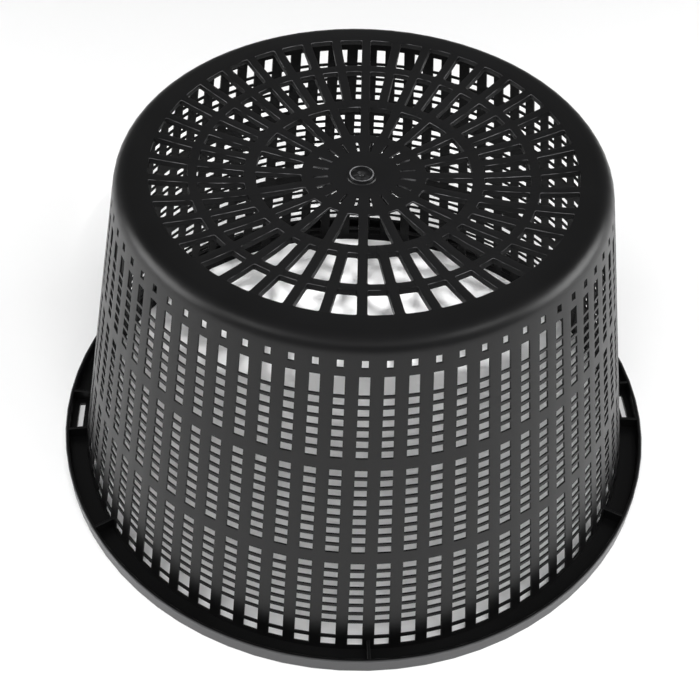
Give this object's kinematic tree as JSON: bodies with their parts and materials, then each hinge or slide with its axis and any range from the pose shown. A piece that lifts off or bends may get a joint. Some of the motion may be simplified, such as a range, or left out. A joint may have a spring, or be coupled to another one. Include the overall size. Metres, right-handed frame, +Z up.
{
  "type": "hydroponic net pot",
  "caption": "Round tapered net pot with a grid of windows in its wall and rings of windows in its dished base, standing upside down on its lipped rim.",
  "frame": {"origin": "centre of the rim's floor face, where the upside-down pot stands", "axes": "+Z up along the pot's axis from the rim to the base, X through the two handle slots"},
  "size_m": [0.26, 0.26, 0.1471],
  "materials": {
    "pot": "satin"
  },
  "bodies": {
    "root": {"net_pot": "pot"}
  },
  "joints": []
}
